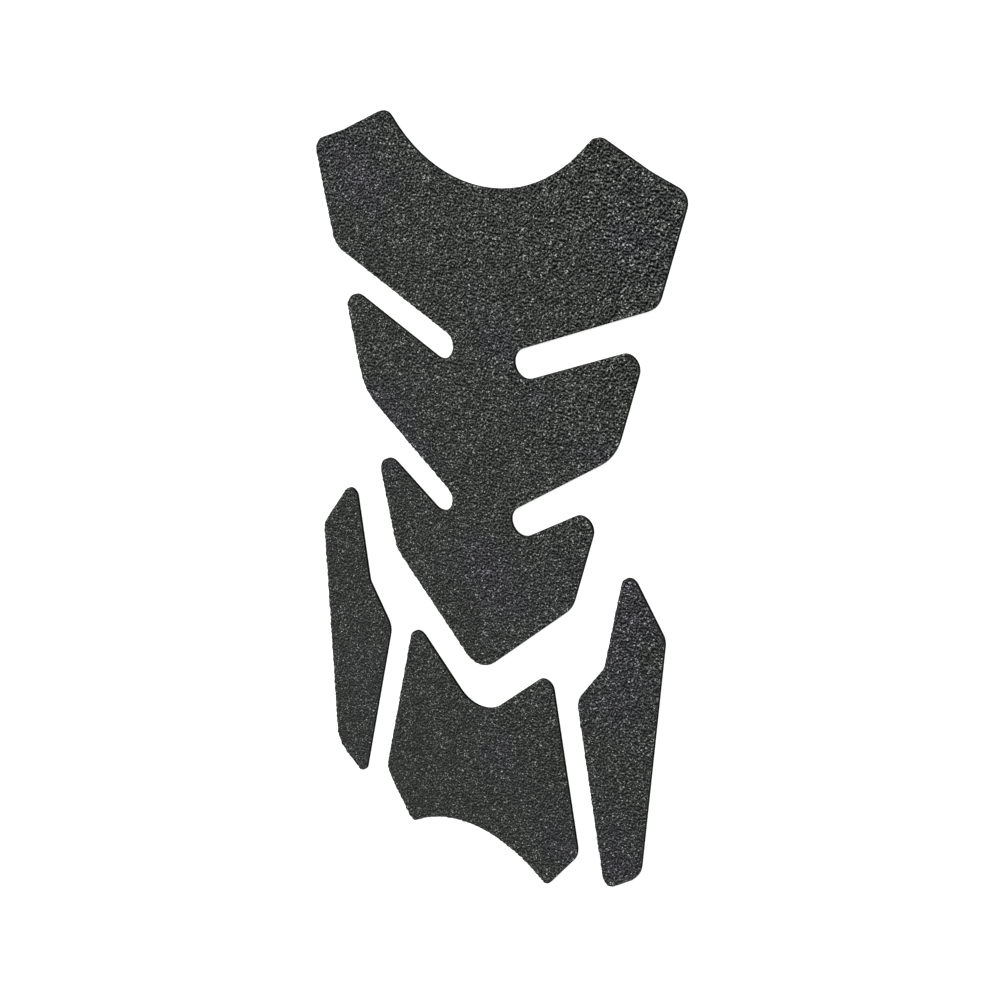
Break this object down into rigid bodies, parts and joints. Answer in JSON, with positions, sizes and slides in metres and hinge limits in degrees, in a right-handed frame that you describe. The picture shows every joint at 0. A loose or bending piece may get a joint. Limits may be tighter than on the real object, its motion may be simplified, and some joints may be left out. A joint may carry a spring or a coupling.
{
  "type": "motorcycle tank pad",
  "caption": "Set of flat die-cut grip pads for a motorcycle fuel tank: a slotted chevron main pad, a notched tail pad and a pair of side wings.",
  "frame": {"origin": "middle of the rectangle that the set covers, on the plane of the adhesive backs", "axes": "+X across the tank, +Y along the tank towards the filler neck, +Z out of the tank"},
  "size_m": [0.121, 0.2142, 0.001],
  "materials": {
    "grip_sheet": "coarse matt grain with small bright flecks"
  },
  "bodies": {
    "root": {"main_pad": "grip_sheet", "tail_pad": "grip_sheet", "left_wing": "grip_sheet", "right_wing": "grip_sheet"}
  },
  "joints": []
}
